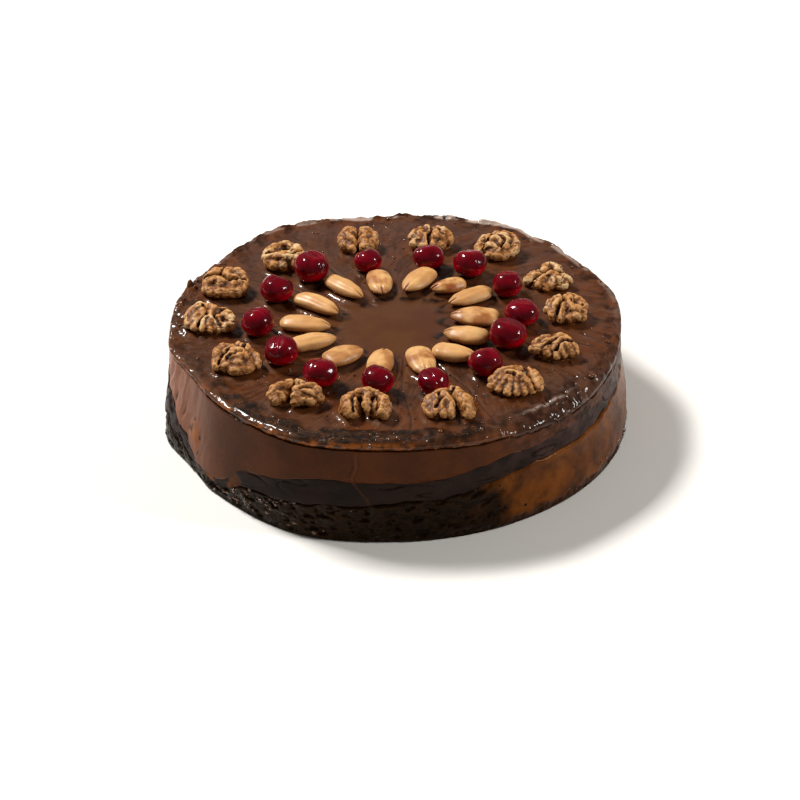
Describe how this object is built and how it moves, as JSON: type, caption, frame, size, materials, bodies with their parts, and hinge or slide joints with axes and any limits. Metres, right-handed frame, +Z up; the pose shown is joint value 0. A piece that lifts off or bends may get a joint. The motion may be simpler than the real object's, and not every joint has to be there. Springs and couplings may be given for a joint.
{
  "type": "fruit cake",
  "caption": "Round glazed fruit cake with chocolate layers showing at the side and a ring of walnut halves, candied cherries and blanched almonds on top.",
  "frame": {"origin": "middle of the flat underside", "axes": "+Z up through the cake, -Y towards the front that the picture shows, +X to the right"},
  "size_m": [0.2595, 0.2567, 0.0759],
  "materials": {
    "base_cake": "very dark moist crumb with a glossy jelly coat, amber where the coat is thick",
    "dark_layer": "smooth dark chocolate cream under a clear jelly coat, bluish grey where it catches light",
    "brown_layer": "smooth milk chocolate cream under a clear jelly coat, a little wrinkled at the left",
    "top_glaze": "milk chocolate glaze with portion marks, amber jelly pools and a rough bubbly rim",
    "walnut": "tan walnut kernel with darker skin in the folds and pale broken patches",
    "candied_cherry": "deep red candied cherry, translucent and wet",
    "blanched_almond": "blanched almond, satin, with toasted patches"
  },
  "bodies": {
    "root": {"base_cake": "base_cake", "dark_layer": "dark_layer", "brown_layer": "brown_layer", "top_glaze": "top_glaze", "walnut_01": "walnut", "walnut_02": "walnut", "walnut_03": "walnut", "walnut_04": "walnut", "walnut_05": "walnut", "walnut_06": "walnut", "walnut_07": "walnut", "walnut_08": "walnut", "walnut_09": "walnut", "walnut_10": "walnut", "walnut_11": "walnut", "walnut_12": "walnut", "walnut_13": "walnut", "walnut_14": "walnut", "cherry_01": "candied_cherry", "cherry_02": "candied_cherry", "cherry_03": "candied_cherry", "cherry_04": "candied_cherry", "cherry_05": "candied_cherry", "cherry_06": "candied_cherry", "cherry_07": "candied_cherry", "cherry_08": "candied_cherry", "cherry_09": "candied_cherry", "cherry_10": "candied_cherry", "cherry_11": "candied_cherry", "cherry_12": "candied_cherry", "cherry_13": "candied_cherry", "cherry_14": "candied_cherry", "almond_01": "blanched_almond", "almond_02": "blanched_almond", "almond_03": "blanched_almond", "almond_04": "blanched_almond", "almond_05": "blanched_almond", "almond_06": "blanched_almond", "almond_07": "blanched_almond", "almond_08": "blanched_almond", "almond_09": "blanched_almond", "almond_10": "blanched_almond", "almond_11": "blanched_almond", "almond_12": "blanched_almond", "almond_13": "blanched_almond", "almond_14": "blanched_almond"}
  },
  "joints": []
}
